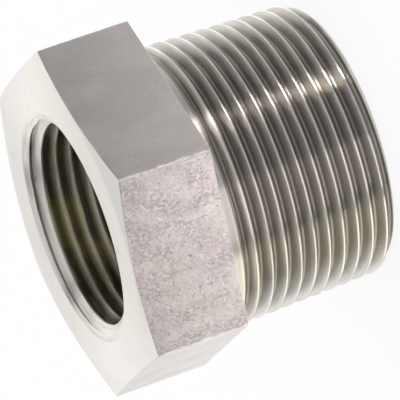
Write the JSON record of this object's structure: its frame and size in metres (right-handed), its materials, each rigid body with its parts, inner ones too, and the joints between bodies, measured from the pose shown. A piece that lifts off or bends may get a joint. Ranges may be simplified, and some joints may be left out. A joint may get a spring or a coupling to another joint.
{
  "type": "hex bushing",
  "caption": "Hexagon-head reducing bushing with a tapered outer pipe thread, a parallel inner pipe thread and a plain through bore.",
  "frame": {"origin": "centre of the small end face, on the bushing's axis", "axes": "+Z along the axis from the small threaded end to the hexagon collar's open face; +X through a corner of the hexagon"},
  "size_m": [0.0542, 0.047, 0.042],
  "materials": {
    "steel": "bright turned and satin"
  },
  "bodies": {
    "root": {"bushing": "steel"}
  },
  "joints": []
}
